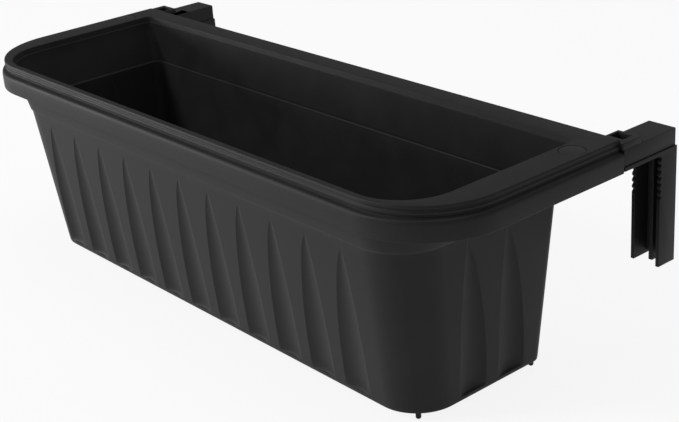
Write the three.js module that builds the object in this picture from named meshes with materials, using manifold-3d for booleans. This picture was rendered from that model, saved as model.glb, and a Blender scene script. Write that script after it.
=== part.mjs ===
// Window box planter that hangs on a balcony rail by two hooks.
// Millimetres, +Z up, X along the box with +X to the right, the front towards -Y.
// The origin lies on the ground plane, under the middle of the whole part.
import * as THREE from 'three';
import { mergeVertices } from 'three/addons/utils/BufferGeometryUtils.js';
import Module from 'manifold-3d';

const wasm = await Module();
wasm.setup();

// ---- Driving dimensions --------------------------------------------------
const RIM_LENGTH = 600;
const RIM_DEPTH = 195.5;
const BODY_HEIGHT = 178.4;
const FRONT_CORNER = 70;
const BACK_CORNER = 1.5;
const WALL = 2.5;
const FLOOR = 3;

const FOOT_HEIGHT = 6.6;
const FOOT_RADIUS = 2.1;
const FOOT_DOME = 1.7;
const FOOT_INSET = 5;

// The rim: lip, two grooves and the deep skirt below them
const SKIRT_HEIGHT = 25.4;
const SKIRT_TOP = 9.4;
const SKIRT_ROUND_INSET = 2.6;
const SKIRT_ROUND_DROP = 3.1;
const SKIRT_EDGE = 0.6;
const LIP_INSET = 3.4;
const LIP_EDGE = 0.7;
const GROOVE_DEPTH = 0.9;
const UPPER_GROOVE_DROP = 3.7;
const LOWER_GROOVE_RISE = 1.1;
const BACK_GROOVE_SHARE = 0.25;
const RIM_SOLID = 12;

// The opening, measured inward from the outside of the rim
const OPENING = { end: 28, front: 8.7, back: 18.7, frontCorner: 43, backCorner: 6 };
const REBATE_DROP = 5.2;
const REBATE_WIDTH = 1.1;
const REBATE_DRAFT = 0.3;
const REBATE_FALL = 0.3;

// Outer face of the walls: under the rim, at the step and at the base
const NECK = { end: 25.5, front: 6.2, back: 15.5, frontCorner: 46, backCorner: 6 };
const SHOULDER = { end: 40.6, front: 14.8, back: 21.5, frontCorner: 40, backCorner: 10 };
const BASE = { end: 49.4, front: 30.4, back: 33.3, frontCorner: 35, backCorner: 10 };
const SHOULDER_DROP = 44;
const STEP = 1.2;
const INNER_STEP_RISE = 3;
const INNER_STEP_FALL = 0.8;
const BASE_BAND = 4;
const BASE_EDGE = 0.8;

// Flutes: scooped channels that start at a point and widen downwards
const FLUTE_COUNT = 11;
const FLUTE_WIDTH = 27.5;
const FLUTE_POINT = 2;
const FLUTE_DEPTH = 3.2;
const FLUTE_TOP_DROP = 54;
const FLUTE_LEAN = 4.4;
const FLUTE_SPREAD_POWER = 0.75;
const FLUTE_BEND_POWER = 3;
const FLUTE_LEDGE = 0.6;
const FLUTE_LEFT_OVERRUN = 5.8;
const FLUTE_RIGHT_MARGIN = 13.4;
const END_FLUTE_COUNT = 2;
const END_FLUTE_PITCH = 40;
const END_FLUTE_MARGIN = 12;

const DRAIN_COUNT = 4;
const DRAIN_RADIUS = 4.5;
const DRAIN_PITCH = 120;

// Hook arms: a tongue inside the rim and a head that reaches past the back
const CLEARANCE = 0.3;
const CHANNEL_FROM_END = 24.8;
const CHANNEL_WIDTH = 18.4;
const CHANNEL_SPARE = 3.8;
const ARM_TOP_DROP = 7.5;
const TONGUE_LENGTH = 116;
const TONGUE_WALL = 2.2;
const HEAD_WIDTH = 24.2;
const HEAD_REACH = 58.5;
const HEAD_BOTTOM_DROP = 20.8;
const HEAD_WALL = 2.5;

// Ribs in the hollow of the rim that carry the tongue
const RIB_THICKNESS = 2.5;
const RIB_SETBACK = 20;
const RIB_PITCH = 36;
const RIB_COUNT = 3;

// Window tab over the arm, and the row of locking holes that pass under it
const TAB_WIDTH = 20.5;
const TAB_ROOT = 2.5;
const TAB_REACH = 17.5;
const TAB_DROP = 2;
const WINDOW_WIDTH = 12.6;
const WINDOW_DEPTH = 10;
const WINDOW_FROM_END = 5.6;
const WINDOW_GAP = 4.5;
const LOCK_PITCH = 25;
const LOCK_COUNT = 3;

// Hook legs: a plate under the head and an E-shaped rail with notched front edges
const LEG_WIDTH = 26;
const LEG_DEPTH = 19;
const LEG_BOTTOM_DROP = 113.7;
const LEG_PROUD = 1;
const PLATE = 3.2;
const FLANGE = 3;
const WEB = 3;
const WEB_LIFT = 2;
const RIB = 3.5;
const RIB_RECESS = 7;
const TENON_SETBACK = 1.7;
const NOTCH_COUNT = 7;
const NOTCH_PITCH = 5.05;
const NOTCH_WIDTH = 3.4;
const NOTCH_DEPTH = 1.6;

// Round plugs, flush in the rim above the channels
const PLUG_RADIUS = 10;
const PLUG_HEAD = 2;
const PLUG_STEM_RADIUS = 7;
const PLUG_FROM_BACK = 38.5;
const PLUG_SEAT_GAP = 0.25;

// ---- Places worked out from the sizes ------------------------------------
const TOP = FOOT_HEIGHT + BODY_HEIGHT;
const HALF = RIM_LENGTH / 2;
const CHANNEL_INNER = HALF - CHANNEL_FROM_END;
const CHANNEL_OUTER = CHANNEL_INNER + CHANNEL_WIDTH;
const CHANNEL_MIDDLE = (CHANNEL_INNER + CHANNEL_OUTER) / 2;
const TONGUE_BOTTOM_DROP = HEAD_BOTTOM_DROP;
const HEAD_START = RIM_DEPTH + CLEARANCE;
const HEAD_END = HEAD_START + HEAD_REACH;
const HEAD_OUTER = HALF - (LEG_WIDTH - HEAD_WIDTH) / 2;
const HEAD_INNER = HEAD_OUTER - HEAD_WIDTH;
const CHANNEL_START = HEAD_START - TONGUE_LENGTH - CHANNEL_SPARE;
const LEG_BACK = HEAD_END + LEG_PROUD;
const LEG_FRONT = LEG_BACK - LEG_DEPTH;
const LEG_INNER = HALF - LEG_WIDTH;
const WINDOW_OUTER = HALF - WINDOW_FROM_END;
const WINDOW_START = RIM_DEPTH + WINDOW_GAP;
const TENON_FRONT = LEG_FRONT + TENON_SETBACK;
const LOCK_OUTER = CHANNEL_OUTER - CLEARANCE - TONGUE_WALL;
const LOCK_INNER = WINDOW_OUTER - WINDOW_WIDTH + CLEARANCE;
const PLATE_TOP_DROP = HEAD_BOTTOM_DROP + CLEARANCE;
const PLATE_BOTTOM_DROP = PLATE_TOP_DROP + PLATE;
const PLUG_Y = RIM_DEPTH - PLUG_FROM_BACK;
const FLUTE_END_DROP = BODY_HEIGHT - BASE_BAND;
const FLOOR_DROP = BODY_HEIGHT - FLOOR;
const SKIRT_INSIDE = HALF - WALL;

// ---- Solids ---------------------------------------------------------------
const CUT_OVER = 1;
const ROUND_SIDES = 24;
const FRONT_CORNER_STEPS = 12;
const BACK_CORNER_STEPS = 4;
const SKIRT_ROUND_STEPS = 3;
const FOOT_DOME_STEPS = 2;
const MERGE_DISTANCE = 1e-4;

function toSolid(geometry) {
  const bare = geometry.clone();
  bare.deleteAttribute('normal');
  bare.deleteAttribute('uv');
  const merged = mergeVertices(bare, MERGE_DISTANCE);
  return new wasm.Manifold(new wasm.Mesh({
    numProp: 3,
    vertProperties: new Float32Array(merged.attributes.position.array),
    triVerts: new Uint32Array(merged.index.array),
  }));
}

function toGeometry(solid) {
  const mesh = solid.getMesh();
  const geometry = new THREE.BufferGeometry();
  geometry.setAttribute('position', new THREE.BufferAttribute(mesh.vertProperties, mesh.numProp));
  geometry.setIndex(new THREE.BufferAttribute(mesh.triVerts, 1));
  geometry.computeVertexNormals();
  return geometry;
}

function fuse(first, ...others) {
  return others.reduce((sum, other) => sum.add(other), first);
}

// A block between two corners; drops are depths below the top of the rim
function block(x0, x1, y0, y1, drop0, drop1) {
  const geometry = new THREE.BoxGeometry(x1 - x0, y1 - y0, drop1 - drop0);
  geometry.translate((x0 + x1) / 2, (y0 + y1) / 2, TOP - (drop0 + drop1) / 2);
  return toSolid(geometry);
}

// An upright round bar between two drops
function bar(radius, x, y, drop0, drop1) {
  const geometry = new THREE.CylinderGeometry(radius, radius, drop1 - drop0, ROUND_SIDES);
  geometry.rotateX(Math.PI / 2);
  geometry.translate(x, y, TOP - (drop0 + drop1) / 2);
  return toSolid(geometry);
}

// A side profile of [y, drop] points, extruded along X
function sideProfile(points, x0, x1) {
  const shape = new THREE.Shape(points.map(([y, drop]) => new THREE.Vector2(y, TOP - drop)));
  const geometry = new THREE.ExtrudeGeometry(shape, { depth: x1 - x0, bevelEnabled: false });
  geometry.rotateX(Math.PI / 2);
  geometry.rotateZ(Math.PI / 2);
  geometry.translate(x0, 0, 0);
  return toSolid(geometry);
}

// A cross profile of [x, drop] points, extruded along Y
function crossProfile(points, y0, y1) {
  const shape = new THREE.Shape(points.map(([x, drop]) => new THREE.Vector2(x, TOP - drop)));
  const geometry = new THREE.ExtrudeGeometry(shape, { depth: y1 - y0, bevelEnabled: false });
  geometry.rotateX(Math.PI / 2);
  geometry.translate(0, y1, 0);
  return toSolid(geometry);
}

// Points of a quarter round that starts flat at [0, 0] and ends upright at [width, height]
function quarterRound(width, height, steps) {
  return Array.from({ length: steps + 1 }, (_, i) => {
    const angle = (Math.PI / 2) * (i / steps);
    return [width * Math.sin(angle), height * (1 - Math.cos(angle))];
  });
}

// The same body on the other end of the box
function mirrored(geometry) {
  const copy = geometry.clone();
  copy.scale(-1, 1, 1);
  const index = copy.index.array;
  for (let i = 0; i < index.length; i += 3) {
    [index[i], index[i + 1]] = [index[i + 1], index[i]];
  }
  copy.computeVertexNormals();
  return copy;
}

// ---- Rings of the trough ---------------------------------------------------
const OUTLINE_SIZES = ['end', 'front', 'back', 'frontCorner', 'backCorner'];
const LEAST_CORNER = 1;

function mix(a, b, share) {
  return Object.fromEntries(OUTLINE_SIZES.map((size) => [size, a[size] + (b[size] - a[size]) * share]));
}

// The outline moved inward by the same amount all round
function inward(outline, amount) {
  return {
    end: outline.end + amount,
    front: outline.front + amount,
    back: outline.back + amount,
    frontCorner: Math.max(outline.frontCorner - amount, LEAST_CORNER),
    backCorner: Math.max(outline.backCorner - amount, LEAST_CORNER),
  };
}

const RIM = { end: 0, front: 0, back: 0, frontCorner: FRONT_CORNER, backCorner: BACK_CORNER };

// The rim's outside, moved in by less at the back, where the grooves are shallow
function rimOutline(inset) {
  return { ...inward(RIM, inset), back: inset * BACK_GROOVE_SHARE, backCorner: BACK_CORNER };
}

// Outer face of the wall: flared under the rim, drafted below the step
function neckAt(drop) {
  return mix(NECK, inward(SHOULDER, -STEP), drop / SHOULDER_DROP);
}

function bodyAt(drop) {
  return mix(SHOULDER, BASE, (drop - SHOULDER_DROP) / (BODY_HEIGHT - SHOULDER_DROP));
}

// Depth of a flute across its width: a round scoop with two crisp edges
const FLUTE_SECTION = [0, 0.08, 0.22, 0.4, 0.6, 0.78, 0.92, 1];
function scoop(across) {
  return 4 * across * (1 - across);
}

// A flute widens quickly below its point and then more slowly
function fluteWidth(share) {
  const spread = Math.sin((Math.PI / 2) * Math.pow(share, FLUTE_SPREAD_POWER));
  return FLUTE_POINT + (FLUTE_WIDTH - FLUTE_POINT) * spread;
}

function fluteDepth(share) {
  return FLUTE_DEPTH * fluteWidth(share) / FLUTE_WIDTH;
}

// The upright edge of a flute bends away from the other edge below its point
function fluteBend(share) {
  return FLUTE_LEAN * Math.pow(1 - share, FLUTE_BEND_POWER);
}

// Where each flute's upright edge ends at the base
function frontFluteEdges() {
  const corner = HALF - BASE.end - BASE.frontCorner;
  const first = -corner - FLUTE_LEFT_OVERRUN + FLUTE_WIDTH;
  const last = corner - FLUTE_RIGHT_MARGIN;
  const pitch = (last - first) / (FLUTE_COUNT - 1);
  return Array.from({ length: FLUTE_COUNT }, (_, i) => first + i * pitch);
}

function endFluteEdges() {
  const last = RIM_DEPTH - BASE.back - BASE.backCorner - END_FLUTE_MARGIN - FLUTE_WIDTH;
  const edge = (i) => last - (END_FLUTE_COUNT - 1 - i) * END_FLUTE_PITCH;
  return Array.from({ length: END_FLUTE_COUNT }, (_, i) => edge(i));
}

const FRONT_EDGES = frontFluteEdges();
const END_EDGES = endFluteEdges();

// Points of the flutes on one wall: each has a station, a place along the wall and a depth.
// On the front the upright edge is the right one, on the ends it is the one nearer the front.
function fluteRow(edges, facing, share, depthScale) {
  return edges.flatMap((edge, i) => FLUTE_SECTION.map((across, k) => {
    const fromUpright = facing > 0 ? across : 1 - across;
    return {
      station: (i + (k + 1) / (FLUTE_SECTION.length + 1)) / edges.length,
      along: edge + facing * (fluteBend(share) + fluteWidth(share) * fromUpright),
      depth: depthScale * fluteDepth(share) * scoop(across),
    };
  }));
}

// One ring of the trough, anticlockwise from above. Stations run from 0 to 8: a whole number
// at each end of a wall. With a flute share, the walls get the points of their flutes, and
// what runs past the left end of the front follows the corner there.
const STATIONS = 8;
function ring(outline, drop, share = null, depthScale = 1) {
  const points = [];
  const z = TOP - drop;
  const left = -HALF + outline.end;
  const right = HALF - outline.end;
  const front = outline.front;
  const back = RIM_DEPTH - outline.back;
  const add = (station, x, y) => {
    points.push({ station: station % STATIONS, position: new THREE.Vector3(x, y, z) });
  };
  const corner = (station, x, y, radius, steps, sweep = Math.PI / 2) => {
    for (let i = 0; i <= steps; i += 1) {
      const angle = (Math.PI / 4) * (station - 3) + sweep * (i / steps);
      add(station + i / steps, x + radius * Math.cos(angle), y + radius * Math.sin(angle));
    }
  };
  const { frontCorner, backCorner } = outline;
  const frontRow = share === null ? [] : fluteRow(FRONT_EDGES, -1, share, depthScale);
  const endRow = share === null ? [] : fluteRow(END_EDGES, 1, share, depthScale);
  const turn = (along) => Math.max(left + frontCorner - along, 0) / frontCorner;
  const leftSweep = Math.PI / 2 - (frontRow.length > 0 ? turn(frontRow[0].along) : 0);
  corner(1, right - frontCorner, front + frontCorner, frontCorner, FRONT_CORNER_STEPS);
  corner(3, right - backCorner, back - backCorner, backCorner, BACK_CORNER_STEPS);
  corner(5, left + backCorner, back - backCorner, backCorner, BACK_CORNER_STEPS);
  corner(7, left + frontCorner, front + frontCorner, frontCorner, FRONT_CORNER_STEPS, leftSweep);
  for (const { station, along, depth } of frontRow) {
    const reach = frontCorner - depth;
    const x = Math.max(along, left + frontCorner) - reach * Math.sin(turn(along));
    add(station, x, front + frontCorner - reach * Math.cos(turn(along)));
  }
  for (const { station, along, depth } of endRow) {
    add(2 + station, right - depth, along);
    add(7 - station, left + depth, along);
  }
  return points.sort((a, b) => a.station - b.station);
}

// Triangles between two rings with any numbers of points, matched by their stations
function bridge(lower, upper, lowerStart, upperStart, triangles) {
  const following = (points, i) => (i + 1 < points.length ? points[i + 1].station : STATIONS);
  let i = 0;
  let j = 0;
  while (i < lower.length || j < upper.length) {
    const a = lowerStart + (i % lower.length);
    const b = upperStart + (j % upper.length);
    const takeLower = j >= upper.length
      || (i < lower.length && following(lower, i) <= following(upper, j));
    if (takeLower) {
      triangles.push(a, lowerStart + ((i + 1) % lower.length), b);
      i += 1;
    } else {
      triangles.push(a, upperStart + ((j + 1) % upper.length), b);
      j += 1;
    }
  }
}

function flatCap(points, start, facesUp, triangles) {
  const outline = points.map(({ position }) => new THREE.Vector2(position.x, position.y));
  for (const [a, b, c] of THREE.ShapeUtils.triangulateShape(outline, [])) {
    triangles.push(start + a, start + (facesUp ? b : c), start + (facesUp ? c : b));
  }
}

// A closed body through a row of rings, flat at the first and at the last
function skin(rings) {
  const positions = [];
  const starts = [];
  const triangles = [];
  for (const points of rings) {
    starts.push(positions.length / 3);
    points.forEach(({ position }) => positions.push(position.x, position.y, position.z));
  }
  flatCap(rings[0], starts[0], false, triangles);
  for (let i = 0; i + 1 < rings.length; i += 1) {
    bridge(rings[i], rings[i + 1], starts[i], starts[i + 1], triangles);
  }
  flatCap(rings.at(-1), starts.at(-1), true, triangles);
  const geometry = new THREE.BufferGeometry();
  geometry.setAttribute('position', new THREE.Float32BufferAttribute(positions, 3));
  geometry.setIndex(triangles);
  return geometry;
}

// ---- The trough ------------------------------------------------------------
const FLUTE_STATIONS = [0, 0.06, 0.15, 0.3, 0.45, 0.6, 0.75, 0.88, 1];

function flutedRings(thickness) {
  return FLUTE_STATIONS.map((share) => {
    const drop = FLUTE_TOP_DROP + share * (FLUTE_END_DROP - FLUTE_TOP_DROP);
    return ring(inward(bodyAt(drop), thickness), drop, share);
  });
}

function outerRings() {
  const ledge = FLUTE_END_DROP + FLUTE_LEDGE;
  const aboveFlutes = FLUTE_TOP_DROP - FLUTE_LEDGE;
  return [
    ring(inward(BASE, BASE_EDGE), BODY_HEIGHT),
    ring(BASE, BODY_HEIGHT - BASE_EDGE),
    ring(bodyAt(ledge), ledge + FLUTE_LEDGE),
    ring(bodyAt(ledge), ledge, 1, 0),
    ...flutedRings(0).reverse(),
    ring(bodyAt(aboveFlutes), aboveFlutes),
    ring(bodyAt(SHOULDER_DROP + STEP), SHOULDER_DROP + STEP),
    ring(neckAt(SHOULDER_DROP), SHOULDER_DROP),
    ring(neckAt(RIM_SOLID), RIM_SOLID),
  ];
}

// Rounded top of the skirt and the two grooves above it, as [inset, drop]
function rimProfile() {
  const deepest = LIP_INSET + GROOVE_DEPTH;
  const lowerGroove = SKIRT_TOP - LOWER_GROOVE_RISE;
  const skirtBend = SKIRT_TOP + SKIRT_ROUND_DROP;
  const round = quarterRound(SKIRT_ROUND_DROP, SKIRT_ROUND_INSET, SKIRT_ROUND_STEPS);
  return [
    [0, SKIRT_HEIGHT - SKIRT_EDGE],
    ...round.map(([rise, inset]) => [inset, skirtBend - rise]),
    [deepest, lowerGroove],
    [LIP_INSET, lowerGroove - GROOVE_DEPTH],
    [LIP_INSET, UPPER_GROOVE_DROP + GROOVE_DEPTH],
    [deepest, UPPER_GROOVE_DROP],
    [LIP_INSET, UPPER_GROOVE_DROP - GROOVE_DEPTH],
    [LIP_INSET, LIP_EDGE],
    [LIP_INSET + LIP_EDGE, 0],
  ];
}

// The rim from the hollow under it, round the skirt and up to the lip
function rimRings() {
  return [
    ring(inward(RIM, WALL), RIM_SOLID),
    ring(inward(RIM, WALL), SKIRT_HEIGHT),
    ring(inward(RIM, SKIRT_EDGE), SKIRT_HEIGHT),
    ...rimProfile().map(([inset, drop]) => ring(rimOutline(inset), drop)),
  ];
}

function innerRings() {
  const rebate = inward(OPENING, REBATE_DRAFT);
  const step = SHOULDER_DROP - INNER_STEP_RISE;
  const belowStep = step + INNER_STEP_FALL;
  const aboveFlutes = FLUTE_TOP_DROP - FLUTE_LEDGE;
  return [
    ring(inward(OPENING, -LIP_EDGE), 0),
    ring(OPENING, LIP_EDGE),
    ring(rebate, REBATE_DROP),
    ring(inward(rebate, REBATE_WIDTH), REBATE_DROP + REBATE_FALL),
    ring(inward(neckAt(step), WALL), step),
    ring(inward(bodyAt(belowStep), WALL), belowStep),
    ring(inward(bodyAt(aboveFlutes), WALL), aboveFlutes),
    ...flutedRings(WALL),
    ring(inward(bodyAt(FLOOR_DROP), WALL), FLOOR_DROP, 1),
  ];
}

// Ribs across the hollow of the rim; the tongue of the arm slides through them
function channelRibs() {
  const top = RIM_SOLID - WALL / 2;
  const bottom = SKIRT_HEIGHT - SKIRT_EDGE;
  const middleOfWall = (drop) => HALF - neckAt(drop).end - WALL / 2;
  const outer = SKIRT_INSIDE + WALL / 2;
  const profile = [[middleOfWall(top), top], [middleOfWall(bottom), bottom], [outer, bottom], [outer, top]];
  const ribs = [];
  for (let i = 0; i < RIB_COUNT; i += 1) {
    const y = CHANNEL_START + RIB_SETBACK + i * RIB_PITCH;
    ribs.push(crossProfile(profile, y, y + RIB_THICKNESS));
  }
  return fuse(...ribs);
}

function channelCut() {
  const top = ARM_TOP_DROP - CLEARANCE;
  const bottom = TONGUE_BOTTOM_DROP + CLEARANCE;
  return block(CHANNEL_INNER, CHANNEL_OUTER, CHANNEL_START, RIM_DEPTH + CUT_OVER, top, bottom);
}

function windowTab() {
  const tab = block(
    HALF - TAB_WIDTH, HALF, RIM_DEPTH - TAB_ROOT, RIM_DEPTH + TAB_REACH,
    TAB_DROP, ARM_TOP_DROP - CLEARANCE,
  );
  const opening = block(
    WINDOW_OUTER - WINDOW_WIDTH, WINDOW_OUTER, WINDOW_START, WINDOW_START + WINDOW_DEPTH,
    TAB_DROP - CUT_OVER, ARM_TOP_DROP + CUT_OVER,
  );
  return tab.subtract(opening);
}

function plugSeat() {
  const seat = bar(PLUG_RADIUS, CHANNEL_MIDDLE, PLUG_Y, -CUT_OVER, PLUG_HEAD + PLUG_SEAT_GAP);
  return seat.add(bar(PLUG_STEM_RADIUS, CHANNEL_MIDDLE, PLUG_Y, 0, ARM_TOP_DROP));
}

function bothEnds(solid) {
  return solid.add(toSolid(mirrored(toGeometry(solid))));
}

function drains() {
  const middle = (BASE.front + RIM_DEPTH - BASE.back) / 2;
  const holes = [];
  for (let i = 0; i < DRAIN_COUNT; i += 1) {
    const x = (i - (DRAIN_COUNT - 1) / 2) * DRAIN_PITCH;
    holes.push(bar(DRAIN_RADIUS, x, middle, FLOOR_DROP - CUT_OVER, BODY_HEIGHT + CUT_OVER));
  }
  return fuse(...holes);
}

// A round nub under each corner of the base, with a domed end
function foot(x, y) {
  const top = FOOT_HEIGHT + FLOOR / 2;
  const profile = [
    ...quarterRound(FOOT_RADIUS, FOOT_DOME, FOOT_DOME_STEPS),
    [FOOT_RADIUS, top],
    [0, top],
  ].map(([r, z]) => new THREE.Vector2(r, z));
  const geometry = new THREE.LatheGeometry(profile, ROUND_SIDES);
  geometry.rotateX(Math.PI / 2);
  geometry.translate(x, y, 0);
  return toSolid(geometry);
}

function feet() {
  const reach = (corner) => (corner - FOOT_INSET) * Math.SQRT1_2;
  const front = BASE.front + BASE.frontCorner - reach(BASE.frontCorner);
  const frontX = HALF - BASE.end - BASE.frontCorner + reach(BASE.frontCorner);
  const back = RIM_DEPTH - BASE.back - BASE.backCorner + reach(BASE.backCorner);
  const backX = HALF - BASE.end - BASE.backCorner + reach(BASE.backCorner);
  return foot(frontX, front).add(foot(backX, back));
}

function trough() {
  const shell = toSolid(skin([...outerRings(), ...rimRings(), ...innerRings()]));
  return shell
    .add(bothEnds(channelRibs()))
    .add(bothEnds(feet()))
    .subtract(bothEnds(channelCut()))
    .add(bothEnds(windowTab()))
    .subtract(bothEnds(plugSeat()))
    .subtract(drains());
}

// ---- Hook arms ---------------------------------------------------------------
function hookHead() {
  const outside = block(HEAD_INNER, HEAD_OUTER, HEAD_START, HEAD_END, ARM_TOP_DROP, HEAD_BOTTOM_DROP);
  const ceiling = ARM_TOP_DROP + HEAD_WALL;
  const hollow = (y0, y1) => block(
    HEAD_INNER + HEAD_WALL, HEAD_OUTER - HEAD_WALL, y0, y1, ceiling, HEAD_BOTTOM_DROP + CUT_OVER,
  );
  const partition = TENON_FRONT - CLEARANCE;
  return outside
    .subtract(hollow(HEAD_START + HEAD_WALL, partition - HEAD_WALL))
    .subtract(hollow(partition, HEAD_END - HEAD_WALL));
}

function tongue() {
  const inner = CHANNEL_INNER + CLEARANCE;
  const outer = CHANNEL_OUTER - CLEARANCE;
  const start = HEAD_START - TONGUE_LENGTH;
  const outside = block(inner, outer, start, HEAD_START + HEAD_WALL / 2, ARM_TOP_DROP, TONGUE_BOTTOM_DROP);
  return outside.subtract(block(
    inner + TONGUE_WALL, outer - TONGUE_WALL, start + TONGUE_WALL, HEAD_START,
    ARM_TOP_DROP + TONGUE_WALL, TONGUE_BOTTOM_DROP + CUT_OVER,
  ));
}

function lockHoles() {
  const holes = [];
  for (let i = 0; i < LOCK_COUNT; i += 1) {
    const y = WINDOW_START - i * LOCK_PITCH;
    holes.push(block(
      LOCK_INNER, LOCK_OUTER, y + CLEARANCE, y + WINDOW_DEPTH - CLEARANCE,
      ARM_TOP_DROP - CUT_OVER, ARM_TOP_DROP + HEAD_WALL + CUT_OVER,
    ));
  }
  return fuse(...holes);
}

function hookArm() {
  return hookHead().add(tongue()).subtract(lockHoles());
}

// ---- Hook legs ---------------------------------------------------------------
// Side view of a flange: its front edge carries the row of notches
function notchedProfile() {
  const points = [[LEG_BACK, PLATE_TOP_DROP], [LEG_FRONT, PLATE_TOP_DROP]];
  for (let i = 0; i < NOTCH_COUNT; i += 1) {
    const middle = PLATE_BOTTOM_DROP + (i + 0.5) * NOTCH_PITCH;
    points.push([LEG_FRONT, middle - NOTCH_WIDTH / 2]);
    points.push([LEG_FRONT + NOTCH_DEPTH, middle]);
    points.push([LEG_FRONT, middle + NOTCH_WIDTH / 2]);
  }
  points.push([LEG_FRONT, LEG_BOTTOM_DROP], [LEG_BACK, LEG_BOTTOM_DROP]);
  return points.reverse();
}

function tenon() {
  const inner = HEAD_INNER + HEAD_WALL + CLEARANCE;
  const outer = HEAD_OUTER - HEAD_WALL - CLEARANCE;
  const back = HEAD_END - HEAD_WALL - CLEARANCE;
  const top = ARM_TOP_DROP + HEAD_WALL + CLEARANCE;
  return block(inner, outer, TENON_FRONT, back, top, PLATE_TOP_DROP + PLATE / 2);
}

function hookLeg() {
  const middle = (LEG_INNER + HALF) / 2;
  const ribFront = LEG_FRONT + RIB_RECESS;
  const webBottom = LEG_BOTTOM_DROP - WEB_LIFT;
  return fuse(
    block(LEG_INNER, HALF, HEAD_START, LEG_BACK, PLATE_TOP_DROP, PLATE_BOTTOM_DROP),
    sideProfile(notchedProfile(), LEG_INNER, LEG_INNER + FLANGE),
    sideProfile(notchedProfile(), HALF - FLANGE, HALF),
    block(LEG_INNER, HALF, LEG_BACK - WEB, LEG_BACK, PLATE_TOP_DROP, webBottom),
    block(middle - RIB / 2, middle + RIB / 2, ribFront, LEG_BACK, PLATE_TOP_DROP, LEG_BOTTOM_DROP),
    tenon(),
  );
}

// ---- Rim plugs -----------------------------------------------------------------
function rimPlug() {
  const head = bar(PLUG_RADIUS - CLEARANCE, CHANNEL_MIDDLE, PLUG_Y, 0, PLUG_HEAD);
  const bottom = ARM_TOP_DROP - CLEARANCE * 2;
  return head.add(bar(PLUG_STEM_RADIUS - CLEARANCE, CHANNEL_MIDDLE, PLUG_Y, PLUG_HEAD / 2, bottom));
}

// ---- Materials and assembly --------------------------------------------------
function mattePlastic(color, roughness) {
  return new THREE.MeshStandardMaterial({ color, roughness, metalness: 0 });
}

const troughPlastic = () => mattePlastic(0x2a2b2d, 0.58);
const armPlastic = () => mattePlastic(0x27282a, 0.55);
const legPlastic = () => mattePlastic(0x27282a, 0.55);
const plugPlastic = () => mattePlastic(0x2a2b2d, 0.5);

const group = new THREE.Group();

function addPart(name, geometry, material) {
  const mesh = new THREE.Mesh(geometry, material);
  mesh.name = name;
  group.add(mesh);
}

function addPair(name, solid, makeMaterial) {
  const right = toGeometry(solid);
  addPart(`${name}_right`, right, makeMaterial());
  addPart(`${name}_left`, mirrored(right), makeMaterial());
}

addPart('trough', toGeometry(trough()), troughPlastic());
addPair('hook_arm', hookArm(), armPlastic);
addPair('hook_leg', hookLeg(), legPlastic);
addPair('rim_plug', rimPlug(), plugPlastic);

// The middle of the whole part, front to back, comes to the origin
group.position.y = -LEG_BACK / 2;

export default group;
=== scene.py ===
"""Window box planter on rail hooks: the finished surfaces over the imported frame."""

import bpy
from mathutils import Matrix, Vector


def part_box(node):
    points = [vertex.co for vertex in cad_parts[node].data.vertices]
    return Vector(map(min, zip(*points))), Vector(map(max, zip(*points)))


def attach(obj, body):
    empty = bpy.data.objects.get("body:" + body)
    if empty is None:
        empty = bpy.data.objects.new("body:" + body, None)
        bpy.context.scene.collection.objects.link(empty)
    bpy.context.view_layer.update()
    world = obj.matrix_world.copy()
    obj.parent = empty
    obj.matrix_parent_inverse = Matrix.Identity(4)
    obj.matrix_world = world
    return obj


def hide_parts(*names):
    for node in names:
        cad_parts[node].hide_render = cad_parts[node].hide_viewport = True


bl_info = {
    "name": "Rail window box",
    "version": (1, 0, 0),
    "blender": (4, 5, 0),
    "location": "View3D > Sidebar > Window box",
    "description": "Builds a fluted window box with hook arms, its materials and a plain studio",
    "category": "Add Mesh",
}

import math

import bmesh
import bpy
from mathutils import Matrix, Vector

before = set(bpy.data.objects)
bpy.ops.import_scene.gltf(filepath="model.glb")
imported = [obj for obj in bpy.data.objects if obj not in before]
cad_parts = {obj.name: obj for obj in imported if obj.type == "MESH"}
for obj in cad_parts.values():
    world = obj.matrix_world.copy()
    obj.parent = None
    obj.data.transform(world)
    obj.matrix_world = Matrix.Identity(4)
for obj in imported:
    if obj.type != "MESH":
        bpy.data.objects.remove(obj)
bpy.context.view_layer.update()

MM = 0.001
BODY = "box"
SIDES = ("right", "left")

# Frame places, in millimetres
TROUGH_LOW, TROUGH_HIGH = (Vector(corner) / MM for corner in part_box("trough"))
RIM_TOP = TROUGH_HIGH.z
HALF = TROUGH_HIGH.x
FRONT = TROUGH_LOW.y
PLUG_LOW, PLUG_HIGH = (Vector(corner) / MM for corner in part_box("rim_plug_right"))


# ---- Sizes and colours that a user would change ------------------------------
class TroughSizes(bpy.types.PropertyGroup):
    depth: bpy.props.FloatProperty(
        name="Depth", description="Rim, front to back, in mm", default=195.5)
    body_height: bpy.props.FloatProperty(
        name="Body height", description="Rim to base, in mm", default=178.4)
    wall: bpy.props.FloatProperty(name="Wall", description="Wall thickness in mm", default=2.5)
    floor: bpy.props.FloatProperty(name="Floor", description="Floor thickness in mm", default=3.0)
    front_corner: bpy.props.FloatProperty(
        name="Front corner", description="Rim radius in mm", default=70.0)
    back_corner: bpy.props.FloatProperty(
        name="Back corner", description="Rim radius in mm", default=1.5)
    skirt: bpy.props.FloatProperty(
        name="Skirt", description="Height of the rim's skirt in mm", default=25.4)
    step_drop: bpy.props.FloatProperty(
        name="Step", description="Depth of the step in mm", default=44.0)
    flutes: bpy.props.IntProperty(
        name="Front flutes", description="Number on the front", default=11)
    end_flutes: bpy.props.IntProperty(
        name="End flutes", description="Number on each end", default=2)
    flute_width: bpy.props.FloatProperty(
        name="Flute width", description="At the base, in mm", default=27.5)
    flute_depth: bpy.props.FloatProperty(
        name="Flute depth", description="At the base, in mm", default=3.2)


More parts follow.
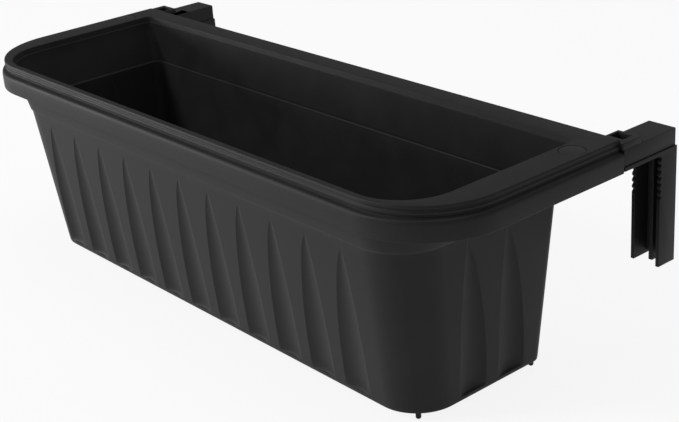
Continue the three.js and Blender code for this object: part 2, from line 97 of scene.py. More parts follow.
class FinishSettings(bpy.types.PropertyGroup):
    plastic: bpy.props.FloatVectorProperty(
        name="Plastic", description="Colour of the moulded plastic", subtype="COLOR",
        size=3, min=0.0, max=1.0, default=(0.0182, 0.0186, 0.0196))
    hooks: bpy.props.FloatVectorProperty(
        name="Hooks", description="Colour of the hook mouldings", subtype="COLOR",
        size=3, min=0.0, max=1.0, default=(0.0172, 0.0176, 0.0187))
    roughness: bpy.props.FloatProperty(
        name="Roughness", description="Of the plastic", subtype="FACTOR",
        min=0.0, max=1.0, default=0.52)
    grain: bpy.props.FloatProperty(
        name="Grain", description="Depth of the fine grain in mm", default=0.06)


class StageSettings(bpy.types.PropertyGroup):
    floor_tone: bpy.props.FloatProperty(
        name="Floor", description="Tone of the floor", subtype="FACTOR",
        min=0.0, max=1.0, default=0.9)
    shadow: bpy.props.FloatProperty(
        name="Shadow", description="Share of the floor's shadow that shows", subtype="FACTOR",
        min=0.0, max=1.0, default=0.12)


# ---- Shader expressions --------------------------------------------------------
class Value:
    """A number in a material: an expression on it adds the Math nodes."""

    def __init__(self, shader, socket):
        self.shader = shader
        self.socket = socket

    def maths(self, operation, first, second):
        settings = {"operation": operation}
        return self.shader.node("ShaderNodeMath", settings, {0: first, 1: second}).out()

    def __add__(self, other):
        return self.maths("ADD", self, other)

    def __radd__(self, other):
        return self.maths("ADD", other, self)

    def __sub__(self, other):
        return self.maths("SUBTRACT", self, other)

    def __rsub__(self, other):
        return self.maths("SUBTRACT", other, self)

    def __mul__(self, other):
        return self.maths("MULTIPLY", self, other)

    def __rmul__(self, other):
        return self.maths("MULTIPLY", other, self)


class Node:
    """A node and its outputs as values."""

    def __init__(self, shader, node):
        self.shader = shader
        self.node = node

    def out(self, name=0):
        return Value(self.shader, self.node.outputs[name])


class Shader:
    """A material's node tree, empty at first."""

    def __init__(self, name):
        self.material = bpy.data.materials.new(name)
        self.material.use_nodes = True
        self.tree = self.material.node_tree
        self.tree.nodes.clear()

    def node(self, kind, settings=None, inputs=None):
        made = self.tree.nodes.new(kind)
        for key, value in (settings or {}).items():
            setattr(made, key, value)
        for key, value in (inputs or {}).items():
            socket = made.inputs[key]
            if isinstance(value, Value):
                self.tree.links.new(value.socket, socket)
            else:
                socket.default_value = value
        return Node(self, made)

    def ramp(self, factor, stops):
        made = self.node("ShaderNodeValToRGB", None, {"Fac": factor})
        elements = made.node.color_ramp.elements
        while len(elements) > 1:
            elements.remove(elements[-1])
        for i, (position, tone) in enumerate(stops):
            element = elements[0] if i == 0 else elements.new(position)
            element.position = position
            element.color = (*tone, 1.0)
        return made.out("Color")

    def finish(self, surface):
        self.node("ShaderNodeOutputMaterial", None, {"Surface": surface})
        return self.material


def moulded_plastic(name, colour, roughness, grain_mm):
    """Matte black moulded plastic: fine grain, faint flow mottling and a varied roughness."""
    shader = Shader(name)
    place = shader.node("ShaderNodeTexCoord").out("Object")
    grain = shader.node("ShaderNodeTexNoise", None, {
        "Vector": place, "Scale": 1700.0, "Detail": 3.0, "Roughness": 0.6}).out("Fac")
    pebble = shader.node("ShaderNodeTexVoronoi", {"feature": "SMOOTH_F1"}, {
        "Vector": place, "Scale": 900.0, "Smoothness": 0.6}).out("Distance")
    mottle = shader.node("ShaderNodeTexNoise", None, {
        "Vector": place, "Scale": 38.0, "Detail": 4.0, "Roughness": 0.55}).out("Fac")
    broad = shader.node("ShaderNodeTexNoise", None, {
        "Vector": place, "Scale": 7.0, "Detail": 2.0, "Roughness": 0.5}).out("Fac")
    light = tuple(min(1.0, 1.18 * c) for c in colour)
    dark = tuple(0.84 * c for c in colour)
    base = shader.ramp(mottle * 0.6 + broad * 0.4, [(0.36, dark), (0.5, colour), (0.66, light)])
    height = grain * 0.6 + pebble * 0.4
    bump = shader.node("ShaderNodeBump", None, {
        "Strength": 0.55, "Distance": grain_mm * MM, "Height": height}).out("Normal")
    rough = (mottle - 0.5) * 0.14 + (grain - 0.5) * 0.10 + roughness
    surface = shader.node("ShaderNodeBsdfPrincipled", None, {
        "Base Color": base, "Roughness": rough, "Normal": bump,
        "Metallic": 0.0, "IOR": 1.49, "Specular IOR Level": 0.17})
    return shader.finish(surface.out("BSDF"))


# ---- Mesh helpers ---------------------------------------------------------------
def add_piece(name, bm, material, body, angle=32.0):
    """Turns a bmesh in millimetres into a finished piece in metres, riding on a body."""
    bmesh.ops.scale(bm, vec=(MM, MM, MM), verts=bm.verts)
    mesh = bpy.data.meshes.new(name)
    bm.to_mesh(mesh)
    bm.free()
    mesh.shade_smooth()
    mesh.set_sharp_from_angle(angle=math.radians(angle))
    piece = bpy.data.objects.new(name, mesh)
    bpy.context.scene.collection.objects.link(piece)
    mesh.materials.append(material)
    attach(piece, body)
    return piece


def material_named(name):
    found = bpy.data.materials.get(name)
    if found is None:
        raise RuntimeError(f"material {name} isn't made yet")
    return found


class Loft:
    """A skin drawn ring by ring. Every ring has the same number of points."""

    def __init__(self, points):
        self.bm = bmesh.new()
        self.place = self.bm.verts.layers.int.new("place")
        circle = bmesh.ops.create_circle(self.bm, segments=len(points), radius=1.0)
        for i, vert in enumerate(circle["verts"]):
            vert[self.place] = i
            vert.co = points[i]
        self.edges = list(self.bm.edges)
        self.first = list(self.edges)

    def to(self, points):
        made = bmesh.ops.extrude_edge_only(self.bm, edges=self.edges)["geom"]
        verts = {item for item in made if isinstance(item, bmesh.types.BMVert)}
        for vert in verts:
            vert.co = points[vert[self.place]]
        self.edges = [
            item for item in made
            if isinstance(item, bmesh.types.BMEdge) and verts.issuperset(item.verts)
        ]

    def close(self):
        for edges in (self.first, self.edges):
            bmesh.ops.edgeloop_fill(self.bm, edges=edges)
        bmesh.ops.recalc_face_normals(self.bm, faces=self.bm.faces)
        return self.bm


# ---- Outline of the trough -------------------------------------------------------
# Sizes of an outline, as distances in from the rim's outside
RIM_OUTSIDE = {"end": 0.0, "front": 0.0, "back": 0.0}
OPENING = {"end": 28.0, "front": 8.7, "back": 18.7, "front_corner": 43.0, "back_corner": 6.0}
NECK = {"end": 25.5, "front": 6.2, "back": 15.5, "front_corner": 46.0, "back_corner": 6.0}
SHOULDER = {"end": 40.6, "front": 14.8, "back": 21.5, "front_corner": 40.0, "back_corner": 10.0}
BASE = {"end": 49.4, "front": 30.4, "back": 33.3, "front_corner": 35.0, "back_corner": 10.0}
LEAST_CORNER = 1.0

FRONT_CORNER_STEPS = 20
BACK_CORNER_STEPS = 9
BACK_WALL_STEPS = 24

LIP_INSET = 3.4
GROOVE_DEPTH = 0.6
SKIRT_TOP = 9.9
BACK_GROOVE_SHARE = 0.25
HOLLOW_DROP = 12.0
STEP = 1.2
REBATE_DROP = 5.2
REBATE_WIDTH = 1.1

FLUTE_TOP = 54.0
FLUTE_POINT = 2.0
BASE_BAND = 4.0
FLUTE_LEDGE = 0.6
FLUTE_RUN_OUT = 7.0
FLUTE_LAST = 0.35
FLUTE_LEAN = 4.4
FLUTE_SPREAD_POWER = 0.75
FLUTE_BEND_POWER = 3
FLUTE_LEFT_OVERRUN = 5.8
FLUTE_RIGHT_MARGIN = 13.4
END_FLUTE_PITCH = 40.0
END_FLUTE_MARGIN = 12.0
# Places of the points across one flute, from its upright edge to its slanting one
FLUTE_SECTION = (
    0.0, 0.012, 0.04, 0.09, 0.16, 0.25, 0.36, 0.48, 0.6, 0.71, 0.81, 0.89, 0.95, 0.985, 1.0)
FLUTE_CREST = 0.35
FLUTE_STEPS = 30
# The rings down a flute stand closer where it starts and where it runs out
FLUTE_EVEN_SHARE = 0.3
FLUTE_EASE_POWER = 1.3


def mix(first, second, share):
    return {key: first[key] + (second[key] - first[key]) * share for key in first}


def inward(outline, amount):
    moved = {key: outline[key] + amount for key in ("end", "front", "back")}
    for key in ("front_corner", "back_corner"):
        moved[key] = max(outline[key] - amount, LEAST_CORNER)
    return moved


def scoop(across):
    """Depth across a flute: a round scoop with two crisp edges."""
    return 4.0 * across * (1.0 - across)


class Trough:
    """The shapes of the trough at any depth below the rim."""

    def __init__(self, sizes):
        self.sizes = sizes
        self.rim = {
            **RIM_OUTSIDE, "front_corner": sizes.front_corner, "back_corner": sizes.back_corner}
        corner = HALF - BASE["end"] - BASE["front_corner"]
        first = -corner - FLUTE_LEFT_OVERRUN + sizes.flute_width
        pitch = (corner - FLUTE_RIGHT_MARGIN - first) / (sizes.flutes - 1)
        self.front_edges = [first + i * pitch for i in range(sizes.flutes)]
        end_of_flat = sizes.depth - BASE["back"] - BASE["back_corner"]
        last = end_of_flat - END_FLUTE_MARGIN - sizes.flute_width
        count = sizes.end_flutes
        self.end_edges = [last - (count - 1 - i) * END_FLUTE_PITCH for i in range(count)]

    def neck(self, drop):
        return mix(NECK, inward(SHOULDER, -STEP), drop / self.sizes.step_drop)

    def body(self, drop):
        down = (drop - self.sizes.step_drop) / (self.sizes.body_height - self.sizes.step_drop)
        return mix(SHOULDER, BASE, down)

    def grooved(self, inset):
        outline = inward(self.rim, inset)
        outline["back"] = inset * BACK_GROOVE_SHARE
        outline["back_corner"] = self.rim["back_corner"]
        return outline

    def flute_row(self, edges, facing, share):
        """Places along a wall and depths of the flutes' points, from the first flute to the last.

        On the front the upright edge is the right one, on the ends it is the one nearer the front.
        """
        spread = math.sin(math.pi / 2 * share ** FLUTE_SPREAD_POWER)
        width = FLUTE_POINT + (self.sizes.flute_width - FLUTE_POINT) * spread
        depth = self.sizes.flute_depth * width / self.sizes.flute_width
        bend = FLUTE_LEAN * (1.0 - share) ** FLUTE_BEND_POWER
        row = []
        for edge in edges:
            flute = [(edge + facing * (bend + width * a), depth * scoop(a)) for a in FLUTE_SECTION]
            row.append((flute[0][0] - facing * FLUTE_CREST, 0.0))
            row += flute
            row.append((flute[-1][0] + facing * FLUTE_CREST, 0.0))
        return sorted(row)

    def ring(self, outline, drop, share=0.0, depth=0.0):
        """Points of one ring, anticlockwise from above, starting at the front's left end."""
        z = RIM_TOP - drop
        right = HALF - outline["end"]
        front = FRONT + outline["front"]
        back = FRONT + self.sizes.depth - outline["back"]
        round_front = outline["front_corner"]
        round_back = outline["back_corner"]
        bend = right - round_front

        def on_front(along, inset):
            """A point of the front; what runs past its left end follows the corner there."""
            turn = max(-bend - along, 0.0) / round_front
            reach = round_front - depth * inset
            return Vector((
                max(along, -bend) - reach * math.sin(turn),
                front + round_front - reach * math.cos(turn), z))

        row = self.flute_row(self.front_edges, -1, share)
        points = [on_front(along, inset) for along, inset in row]
        half = []
        for i in range(FRONT_CORNER_STEPS + 1):
            angle = math.pi / 2 * (i / FRONT_CORNER_STEPS - 1.0)
            half.append((bend + round_front * math.cos(angle),
                         front + round_front + round_front * math.sin(angle)))
        for along, inset in self.flute_row(self.end_edges, 1, share):
            half.append((right - depth * inset, FRONT + along))
        for i in range(BACK_CORNER_STEPS + 1):
            angle = math.pi / 2 * i / BACK_CORNER_STEPS
            half.append((right - round_back + round_back * math.cos(angle),
                         back - round_back + round_back * math.sin(angle)))
        points += [Vector((x, y, z)) for x, y in half]
        span = right - round_back
        for i in range(1, BACK_WALL_STEPS):
            points.append(Vector((span - 2.0 * span * i / BACK_WALL_STEPS, back, z)))
        points += [Vector((-x, y, z)) for x, y in reversed(half[FRONT_CORNER_STEPS + 1:])]
        sweep = math.pi / 2 - max(-bend - row[0][0] + FLUTE_CREST, 0.0) / round_front
        for i in range(FRONT_CORNER_STEPS + 1):
            angle = sweep * i / FRONT_CORNER_STEPS
            points.append(Vector((-bend - round_front * math.cos(angle),
                                  front + round_front - round_front * math.sin(angle), z)))
        return points

    def fluted(self, thickness):
        """Rings down the flutes, from their points to the base band."""
        end = self.sizes.body_height - BASE_BAND
        for i in range(FLUTE_STEPS + 1):
            step = i / FLUTE_STEPS
            eased = math.sin(math.pi / 2 * step) ** FLUTE_EASE_POWER
            share = FLUTE_EVEN_SHARE * step + (1.0 - FLUTE_EVEN_SHARE) * eased
            drop = FLUTE_TOP + share * (end - FLUTE_TOP)
            rise = end - drop
            depth = 1.0
            if rise <= FLUTE_RUN_OUT:
                depth = math.sqrt(rise / FLUTE_RUN_OUT) * (1.0 - FLUTE_LAST) + FLUTE_LAST
            yield self.ring(inward(self.body(drop), thickness), drop, share, depth)

    def outside(self):
        sizes = self.sizes
        end = sizes.body_height - BASE_BAND
        base = sizes.body_height
        for inset, rise in ((4.0, 0.0), (0.9, 0.0), (0.45, 0.12), (0.12, 0.45), (0.0, 0.9)):
            yield self.ring(inward(BASE, inset), base - rise, 1.0, 0.0)
        yield self.ring(self.body(end + 2 * FLUTE_LEDGE), end + 2 * FLUTE_LEDGE, 1.0, 0.0)
        yield self.ring(self.body(end + FLUTE_LEDGE), end + FLUTE_LEDGE, 1.0, 0.0)
        yield from reversed(list(self.fluted(0.0)))
        for drop in (FLUTE_TOP - 1.0, sizes.step_drop + STEP + 0.8):
            yield self.ring(self.body(drop), drop)
        step = sizes.step_drop
        for inset, drop in (
            (0.0, step + STEP), (-0.35, step + 0.5), (-0.85, step + 0.1), (-STEP, step - 0.4),
        ):
            yield self.ring(inward(self.body(step), inset), drop)
        for drop in (step - 2.0, 30.0, 20.0, HOLLOW_DROP + 1.5):
            yield self.ring(self.neck(drop), drop)
        yield self.ring(inward(self.neck(HOLLOW_DROP), -0.4), HOLLOW_DROP + 0.4)
        yield self.ring(inward(self.neck(HOLLOW_DROP), -1.5), HOLLOW_DROP)

    def rim_round(self):
        """The hollow's ceiling, the skirt, its rounded top, the ridge and the lip."""
        sizes = self.sizes
        inside = sizes.wall
        deepest = LIP_INSET + GROOVE_DEPTH
        for inset, drop in (
            (inside + 1.2, HOLLOW_DROP), (inside + 0.3, HOLLOW_DROP + 0.3),
            (inside, HOLLOW_DROP + 1.2), (inside, sizes.skirt - 0.5),
            (inside - 0.15, sizes.skirt - 0.15), (inside - 0.5, sizes.skirt), (0.8, sizes.skirt),
        ):
            yield self.ring(inward(self.rim, inset), drop)
        profile = (
            (0.35, sizes.skirt - 0.1), (0.1, sizes.skirt - 0.35), (0.0, sizes.skirt - 0.8),
            (0.0, SKIRT_TOP + 5.0), (0.04, SKIRT_TOP + 3.6), (0.16, SKIRT_TOP + 2.4),
            (0.42, SKIRT_TOP + 1.4), (0.85, SKIRT_TOP + 0.6), (1.45, SKIRT_TOP + 0.05),
            (2.2, SKIRT_TOP - 0.3), (3.0, SKIRT_TOP - 0.5), (3.7, SKIRT_TOP - 0.8),
            (4.15, SKIRT_TOP - 1.25), (deepest, SKIRT_TOP - 1.7), (4.1, SKIRT_TOP - 2.2),
            (3.65, SKIRT_TOP - 2.55), (LIP_INSET, SKIRT_TOP - 3.0), (LIP_INSET - 0.15, 6.2),
            (LIP_INSET - 0.1, 5.4), (LIP_INSET + 0.1, 4.8), (3.9, 4.4), (deepest, 3.9),
            (4.1, 3.4), (3.65, 3.05), (LIP_INSET, 2.7), (LIP_INSET, 1.5), (3.6, 0.8),
            (4.0, 0.32), (4.7, 0.06), (5.4, 0.0),
        )
        for inset, drop in profile:
            yield self.ring(self.grooved(inset), drop)

    def inside(self):
        sizes = self.sizes
        wall = sizes.wall
        for inset, drop in (
            (-1.4, 0.0), (-0.75, 0.08), (-0.25, 0.4), (0.0, 1.0), (0.25, REBATE_DROP - 0.3),
        ):
            yield self.ring(inward(OPENING, inset), drop)
        ledge = inward(OPENING, 0.3)
        for inset, drop in (
            (0.1, 0.0), (REBATE_WIDTH - 0.4, 0.1), (REBATE_WIDTH - 0.05, 0.4), (REBATE_WIDTH, 1.0),
        ):
            yield self.ring(inward(ledge, inset), REBATE_DROP + drop)
        step = sizes.step_drop - 3.0
        top = inward(ledge, REBATE_WIDTH)
        low = inward(self.neck(step), wall)
        for share in (0.25, 0.5, 0.75, 0.96):
            drop = REBATE_DROP + 1.0 + share * (step - REBATE_DROP - 1.5)
            yield self.ring(mix(top, low, share), drop)
        below = inward(self.body(step + 1.0), wall)
        yield self.ring(inward(low, 0.12), step - 0.1)
        yield self.ring(inward(below, -1.3), step + 0.12)
        yield self.ring(inward(below, -0.5), step + 0.35)
        yield self.ring(inward(below, -0.1), step + 0.8)
        yield self.ring(inward(self.body(step + 2.0), wall), step + 2.0)
        yield self.ring(inward(self.body(FLUTE_TOP - 1.0), wall), FLUTE_TOP - 1.0)
        yield from self.fluted(wall)
        floor = sizes.body_height - sizes.floor
        low = inward(self.body(floor), wall)
        for inset, rise in ((0.35, 0.35), (1.0, 0.0), (4.0, 0.0)):
            yield self.ring(inward(low, inset), floor - rise, 1.0, 1.0 if inset < 2.0 else 0.0)

    def rings(self):
        yield from self.outside()
        yield from self.rim_round()
        yield from self.inside()


# ---- Cuts and small forms ----------------------------------------------------------
CLEARANCE = 0.3
ARM_TOP = 7.5
CHANNEL_INNER = 275.2
CHANNEL_WIDTH = 18.4
CHANNEL_START = 76.0
TONGUE_BOTTOM = 20.8
PLUG_Y = 157.0
PLUG_SEAT_RADIUS = 10.0
PLUG_SEAT_DEPTH = 2.25
STEM_HOLE_RADIUS = 7.0
TAB_WIDTH = 20.5
TAB_ROOT = 2.5
TAB_REACH = 17.5
TAB_DROP = 2.0
WINDOW_WIDTH = 12.6
WINDOW_DEPTH = 10.0
WINDOW_FROM_END = 5.6
WINDOW_GAP = 4.5
RIB_FIRST = 96.0
RIB_PITCH = 36.0
RIB_THICKNESS = 2.5
RIB_COUNT = 3
FOOT_HEIGHT = 6.6
FOOT_RADIUS = 2.1
FOOT_INSET = 5.0
DRAIN_RADIUS = 4.5
DRAIN_PITCH = 120.0
DRAIN_COUNT = 4
DRAIN_SEGMENTS = 48
PLUG_SEGMENTS = 96
OVERCUT = 2.0
FLAT_ANGLE = math.radians(1.0)
TAB_EDGE = 0.5
HOOK_EDGE = 0.3
PLUG_EDGE = 0.7
PLUG_HEAD = 2.0
CHANNEL_MIDDLE = CHANNEL_INNER + CHANNEL_WIDTH / 2


def add_block(bm, low, high):
    """A closed block between two corners, in millimetres; returns its vertices."""
    low, high = Vector(low), Vector(high)
    verts = bmesh.ops.create_cube(bm, size=1.0)["verts"]
    bmesh.ops.scale(bm, vec=high - low, verts=verts)
    bmesh.ops.translate(bm, vec=(low + high) / 2, verts=verts)
    return verts


def add_drum(bm, radius, x, y, low, high, segments=64):
    """A closed upright cylinder, in millimetres; returns its vertices."""
    verts = bmesh.ops.create_cone(
        bm, cap_ends=True, segments=segments, radius1=radius, radius2=radius,
        depth=high - low)["verts"]
    bmesh.ops.translate(bm, vec=(x, y, (low + high) / 2), verts=verts)
    return verts


def edges_of(verts):
    return list({edge for vert in verts for edge in vert.link_edges})


def soften(bm, edges, offset, segments=3):
    bmesh.ops.bevel(
        bm, geom=edges, offset=offset, segments=segments, profile=0.5, affect="EDGES",
        material=-1, clamp_overlap=True)


def sharp_edges(bm, angle=30.0):
    limit = math.radians(angle)
    return [edge for edge in bm.edges if edge.is_manifold and edge.calc_face_angle(0.0) > limit]


def mirror_over(bm, verts):
    """Adds the same form on the other end of the box."""
    faces = {face for vert in verts for face in vert.link_faces}
    made = bmesh.ops.duplicate(bm, geom=list(verts) + edges_of(verts) + list(faces))["geom"]
    twins = [item for item in made if isinstance(item, bmesh.types.BMVert)]
    bmesh.ops.scale(bm, vec=(-1.0, 1.0, 1.0), verts=twins)
    flipped = [item for item in made if isinstance(item, bmesh.types.BMFace)]
    bmesh.ops.reverse_faces(bm, faces=flipped)


def as_object(name, bm):
    mesh = bpy.data.meshes.new(name)
    bm.to_mesh(mesh)
    bm.free()
    made = bpy.data.objects.new(name, mesh)
    bpy.context.scene.collection.objects.link(made)
    return made


def carved(bm, cutter):
    """The first bmesh with the second cut out of it. Both are used up."""
    body = as_object("carved_body", bm)
    tool = as_object("carving_tool", cutter)
    modifier = body.modifiers.new("carve", "BOOLEAN")
    modifier.operation = "DIFFERENCE"
    modifier.solver = "EXACT"
    modifier.object = tool
    result = bmesh.new()
    result.from_object(body, bpy.context.evaluated_depsgraph_get())
    for used in (body, tool):
        mesh = used.data
        bpy.data.objects.remove(used)
        bpy.data.meshes.remove(mesh)
    return result


def trough_cutter(sizes):
    """Plug seats, tongue channels and drain holes."""
    bm = bmesh.new()
    seat_y = FRONT + PLUG_Y
    add_drum(
        bm, PLUG_SEAT_RADIUS, CHANNEL_MIDDLE, seat_y,
        RIM_TOP - PLUG_SEAT_DEPTH, RIM_TOP + 2 * OVERCUT, PLUG_SEGMENTS)
    ceiling = RIM_TOP - (ARM_TOP - CLEARANCE)
    low = RIM_TOP - (TONGUE_BOTTOM + CLEARANCE)
    add_block(
        bm, (CHANNEL_INNER, FRONT + CHANNEL_START, low),
        (CHANNEL_INNER + CHANNEL_WIDTH, FRONT + sizes.depth + OVERCUT, ceiling))
    mirror_over(bm, list(bm.verts))
    middle = FRONT + (BASE["front"] + sizes.depth - BASE["back"]) / 2
    for i in range(DRAIN_COUNT):
        x = (i - (DRAIN_COUNT - 1) / 2) * DRAIN_PITCH
        add_drum(
            bm, DRAIN_RADIUS, x, middle,
            FOOT_HEIGHT - OVERCUT, FOOT_HEIGHT + 4 * OVERCUT, DRAIN_SEGMENTS)
    return bm


def window_tabs(sizes):
    """The two tabs behind the rim, each with its square window."""
    bm = bmesh.new()
    back = FRONT + sizes.depth
    low = RIM_TOP - (ARM_TOP - CLEARANCE)
    add_block(
        bm, (HALF - TAB_WIDTH, back - TAB_ROOT, low),
        (HALF, back + TAB_REACH, RIM_TOP - TAB_DROP))
    hole = bmesh.new()
    outer = HALF - WINDOW_FROM_END
    add_block(
        hole, (outer - WINDOW_WIDTH, back + WINDOW_GAP, low - OVERCUT),
        (outer, back + WINDOW_GAP + WINDOW_DEPTH, RIM_TOP))
    bm = carved(bm, hole)
    bmesh.ops.dissolve_limit(bm, angle_limit=FLAT_ANGLE, verts=bm.verts, edges=bm.edges)
    soften(bm, sharp_edges(bm), TAB_EDGE)
    mirror_over(bm, list(bm.verts))
    return bm


def under_rim_ribs(trough):
    """Plates across the hollow of the rim that the tongue slides through."""
    sizes = trough.sizes
    bm = bmesh.new()
    bottom = sizes.skirt - 0.6
    for i in range(RIB_COUNT):
        y = FRONT + RIB_FIRST + i * RIB_PITCH
        inner = HALF - trough.neck(bottom)["end"] - sizes.wall / 2
        verts = add_block(
            bm, (inner, y, RIM_TOP - bottom),
            (HALF - sizes.wall / 2, y + RIB_THICKNESS, RIM_TOP - HOLLOW_DROP + 1.0))
        lean = trough.neck(bottom)["end"] - trough.neck(HOLLOW_DROP)["end"]
        top_inner = [v for v in verts if v.co.z > RIM_TOP - HOLLOW_DROP and v.co.x < inner + 1.0]
        bmesh.ops.translate(bm, vec=(lean, 0.0, 0.0), verts=top_inner)
    hole = bmesh.new()
    add_block(
        hole, (CHANNEL_INNER, FRONT + CHANNEL_START, RIM_TOP - TONGUE_BOTTOM - CLEARANCE),
        (CHANNEL_INNER + CHANNEL_WIDTH, FRONT + sizes.depth, RIM_TOP - HOLLOW_DROP + 3.0))
    bm = carved(bm, hole)
    mirror_over(bm, list(bm.verts))
    return bm


def feet(sizes):
    """Four round nubs under the corners of the base."""
    bm = bmesh.new()
    round_front = BASE["front_corner"]
    reach = (round_front - FOOT_INSET) * math.sqrt(0.5)
    round_back = BASE["back_corner"]
    reach_back = (round_back - FOOT_INSET) * math.sqrt(0.5)
    end = HALF - BASE["end"]
    back = FRONT + sizes.depth - BASE["back"]
    places = (
        (end - round_front + reach, FRONT + BASE["front"] + round_front - reach),
        (end - round_back + reach_back, back - round_back + reach_back),
    )
    for x, y in places:
        verts = add_drum(bm, FOOT_RADIUS, x, y, 0.0, FOOT_HEIGHT + 1.5, 32)
        tip = [e for e in edges_of(verts) if all(v.co.z < 0.1 for v in e.verts)]
        soften(bm, tip, FOOT_RADIUS * 0.75, 6)
    mirror_over(bm, list(bm.verts))
    return bm


def join(first, *others):
    """All the forms as islands of one bmesh."""
    for other in others:
        mesh = bpy.data.meshes.new("joined")
        other.to_mesh(mesh)
        other.free()
        first.from_mesh(mesh)
        bpy.data.meshes.remove(mesh)
    return first


def cad_copy(node):
    """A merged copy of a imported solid, in millimetres, with its flat faces whole."""
    bm = bmesh.new()
    bm.from_mesh(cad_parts[node].data)
    bmesh.ops.remove_doubles(bm, verts=bm.verts, dist=0.002 * MM)
    bmesh.ops.scale(bm, vec=(1.0 / MM,) * 3, verts=bm.verts)
    bmesh.ops.dissolve_limit(bm, angle_limit=FLAT_ANGLE, verts=bm.verts, edges=bm.edges)
    return bm


# ---- Operators -----------------------------------------------------------------------
class WINDOWBOX_OT_materials(bpy.types.Operator):
    """Makes the moulded plastics"""
    bl_idname = "windowbox.materials"
    bl_label = "Make materials"

    def execute(self, context):
        finish = context.scene.windowbox_finish
        plastic, hooks = tuple(finish.plastic), tuple(finish.hooks)
        moulded_plastic("grained_trough", plastic, finish.roughness, finish.grain)
        moulded_plastic("grained_hooks", hooks, finish.roughness - 0.04, finish.grain)
        moulded_plastic("grained_plugs", plastic, finish.roughness - 0.08, finish.grain)
        return {"FINISHED"}


class WINDOWBOX_OT_trough(bpy.types.Operator):
    """Builds the fluted trough with its rim, window tabs, ribs and feet"""
    bl_idname = "windowbox.trough"
    bl_label = "Add trough"

    def execute(self, context):
        sizes = context.scene.windowbox_trough
        trough = Trough(sizes)
        rings = trough.rings()
        loft = Loft(next(rings))
        for points in rings:
            loft.to(points)
        shell = carved(loft.close(), trough_cutter(sizes))
        whole = join(shell, window_tabs(sizes), under_rim_ribs(trough), feet(sizes))
        piece = add_piece(
            "trough_shell", whole, material_named("grained_trough"), BODY)
        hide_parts("trough")
        return {"FINISHED"}


class WINDOWBOX_OT_hooks(bpy.types.Operator):
    """Builds the hook arms and legs with softened edges"""
    bl_idname = "windowbox.hooks"
    bl_label = "Add hooks"

    def execute(self, context):
        for side in SIDES:
            for part in ("arm", "leg"):
                node = f"hook_{part}_{side}"
                bm = cad_copy(node)
                soften(bm, sharp_edges(bm), HOOK_EDGE)
                piece = add_piece(
                    f"{part}_{side}", bm, material_named("grained_hooks"),
                    f"hook_{side}")
                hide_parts(node)
        return {"FINISHED"}


class WINDOWBOX_OT_plugs(bpy.types.Operator):
    """Builds the round plugs that sit flush in the rim"""
    bl_idname = "windowbox.plugs"
    bl_label = "Add rim plugs"

    def execute(self, context):
        radius = (PLUG_HIGH.x - PLUG_LOW.x) / 2
        stem = STEM_HOLE_RADIUS - CLEARANCE
        for side, sign in zip(SIDES, (1.0, -1.0)):
            bm = bmesh.new()
            middle = (PLUG_LOW + PLUG_HIGH) / 2
            head = add_drum(
                bm, radius, sign * middle.x, middle.y,
                PLUG_HIGH.z - PLUG_HEAD, PLUG_HIGH.z, PLUG_SEGMENTS)
            rim = [e for e in edges_of(head) if all(v.co.z > PLUG_HIGH.z - 0.1 for v in e.verts)]
            soften(bm, rim, PLUG_EDGE, 4)
            add_drum(bm, stem, sign * middle.x, middle.y, PLUG_LOW.z, PLUG_HIGH.z - 1.0, 64)
            piece = add_piece(
                f"plug_{side}", bm, material_named("grained_plugs"), BODY)
            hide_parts(f"rim_plug_{side}")
        return {"FINISHED"}


# ---- Camera, lights and floor ------------------------------------------------------------
CAMERA_PLACE = (890.09, -547.19, 356.82)
CAMERA_YAW = -50.85
CAMERA_PITCH = -23.09
CAMERA_ROLL = -4.13
IMAGE_WIDTH = 679
FOCAL_PIXELS = 1416.05
SENSOR_WIDTH = 36.0

# Square lamps: name, place and target in metres, side in metres, power in watts
MIDDLE = (0.0, 0.0, 0.1)
LAMPS = (
    ("key", (-1.4, -2.3, 2.2), MIDDLE, 0.6, 46.0),
    ("low_left", (-1.4, -1.0, 0.25), (-0.1, 0.0, 0.1), 0.5, 10.0),
    ("top", (0.3, 0.2, 2.6), MIDDLE, 1.8, 16.0),
    ("back", (-0.3, 2.4, 2.0), MIDDLE, 1.4, 5.0),
)
WORLD_STRENGTH = 0.24
FLOOR_REACH = 6.0


def add_camera():
    """Camera at the photograph's place, measured from the rim's top and the skirt's front."""
    yaw, pitch, roll = (math.radians(a) for a in (CAMERA_YAW, CAMERA_PITCH, CAMERA_ROLL))
    level = math.cos(pitch)
    ahead = Vector((math.sin(yaw) * level, math.cos(yaw) * level, math.sin(pitch)))
    right = ahead.cross(Vector((0.0, 0.0, 1.0))).normalized()
    up = right.cross(ahead)
    x_axis = right * math.cos(roll) + up * math.sin(roll)
    y_axis = up * math.cos(roll) - right * math.sin(roll)
    data = bpy.data.cameras.new("camera")
    data.sensor_width = SENSOR_WIDTH
    data.lens = FOCAL_PIXELS / IMAGE_WIDTH * data.sensor_width
    camera = bpy.data.objects.new("camera", data)
    turn = Matrix((x_axis, y_axis, -ahead)).transposed().to_4x4()
    place = (Vector(CAMERA_PLACE) + Vector((0.0, FRONT, RIM_TOP))) * MM
    camera.matrix_world = Matrix.Translation(place) @ turn
    bpy.context.scene.collection.objects.link(camera)
    bpy.context.scene.camera = camera


def add_lamp(name, place, target, size, power):
    data = bpy.data.lights.new(name, "AREA")
    data.shape = "SQUARE"
    data.size = size
    data.energy = power
    lamp = bpy.data.objects.new(name, data)
    ahead = Vector(target) - Vector(place)
    turn = ahead.to_track_quat("-Z", "Y").to_matrix().to_4x4()
    lamp.matrix_world = Matrix.Translation(place) @ turn
    bpy.context.scene.collection.objects.link(lamp)


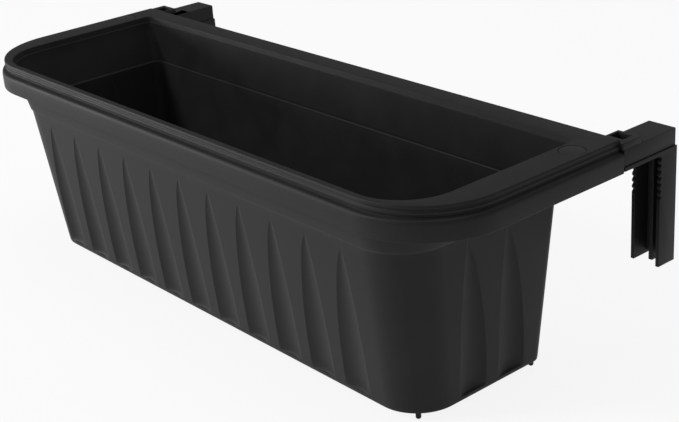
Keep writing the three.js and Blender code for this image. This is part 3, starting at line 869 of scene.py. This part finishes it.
def floor_material(tone, shadow):
    """Pale floor that reads as a white sheet and keeps a share of the shadow."""
    shader = Shader("studio_floor")
    path = shader.node("ShaderNodeLightPath")
    seen = shader.node("ShaderNodeMath", {"operation": "ADD", "use_clamp": True}, {
        0: path.out("Is Camera Ray"),
        1: path.out("Is Glossy Ray") + path.out("Is Transmission Ray")}).out()
    matt = shader.node("ShaderNodeBsdfDiffuse", None, {"Color": (tone, tone, tone, 1.0)})
    sheet = shader.node("ShaderNodeEmission", None, {
        "Color": (1.0, 1.0, 1.0, 1.0), "Strength": 1.0})
    mixed = shader.node("ShaderNodeMixShader", None, {
        0: seen * (1.0 - shadow), 1: matt.out("BSDF"), 2: sheet.out("Emission")})
    return shader.finish(mixed.out("Shader"))


def set_world(strength):
    world = bpy.data.worlds.new("studio")
    world.use_nodes = True
    backdrop = world.node_tree.nodes["Background"]
    backdrop.inputs["Color"].default_value = (1.0, 1.0, 1.0, 1.0)
    backdrop.inputs["Strength"].default_value = strength
    bpy.context.scene.world = world


class WINDOWBOX_OT_stage(bpy.types.Operator):
    """Sets the floor, the soft studio lights and the camera"""
    bl_idname = "windowbox.stage"
    bl_label = "Set stage"

    def execute(self, context):
        settings = context.scene.windowbox_stage
        bm = bmesh.new()
        bmesh.ops.create_grid(bm, x_segments=1, y_segments=1, size=FLOOR_REACH)
        floor = as_object("studio_floor", bm)
        floor.data.materials.append(floor_material(settings.floor_tone, settings.shadow))
        set_world(WORLD_STRENGTH)
        for lamp in LAMPS:
            add_lamp(*lamp)
        add_camera()
        context.scene.view_settings.view_transform = "Standard"
        return {"FINISHED"}


class WINDOWBOX_PT_panel(bpy.types.Panel):
    """Lists the window box's operators and settings"""
    bl_idname = "WINDOWBOX_PT_panel"
    bl_label = "Window box"
    bl_space_type = "VIEW_3D"
    bl_region_type = "UI"
    bl_category = "Window box"

    def draw(self, context):
        for name in SETTINGS:
            group = getattr(context.scene, name)
            box = self.layout.box()
            for key in group.__annotations__:
                box.prop(group, key)
        for operator in OPERATORS:
            self.layout.operator(operator.bl_idname)


SETTINGS = {
    "windowbox_trough": TroughSizes,
    "windowbox_finish": FinishSettings,
    "windowbox_stage": StageSettings,
}
OPERATORS = (
    WINDOWBOX_OT_materials,
    WINDOWBOX_OT_trough,
    WINDOWBOX_OT_hooks,
    WINDOWBOX_OT_plugs,
    WINDOWBOX_OT_stage,
)


def register():
    for kind in (*SETTINGS.values(), *OPERATORS, WINDOWBOX_PT_panel):
        bpy.utils.register_class(kind)
    for name, kind in SETTINGS.items():
        setattr(bpy.types.Scene, name, bpy.props.PointerProperty(type=kind))


def unregister():
    for name in SETTINGS:
        delattr(bpy.types.Scene, name)
    for kind in reversed((*SETTINGS.values(), *OPERATORS, WINDOWBOX_PT_panel)):
        bpy.utils.unregister_class(kind)


def main():
    register()
    bpy.ops.windowbox.materials()
    bpy.ops.windowbox.trough()
    bpy.ops.windowbox.hooks()
    bpy.ops.windowbox.plugs()
    bpy.ops.windowbox.stage()


if __name__ == "__main__":
    main()
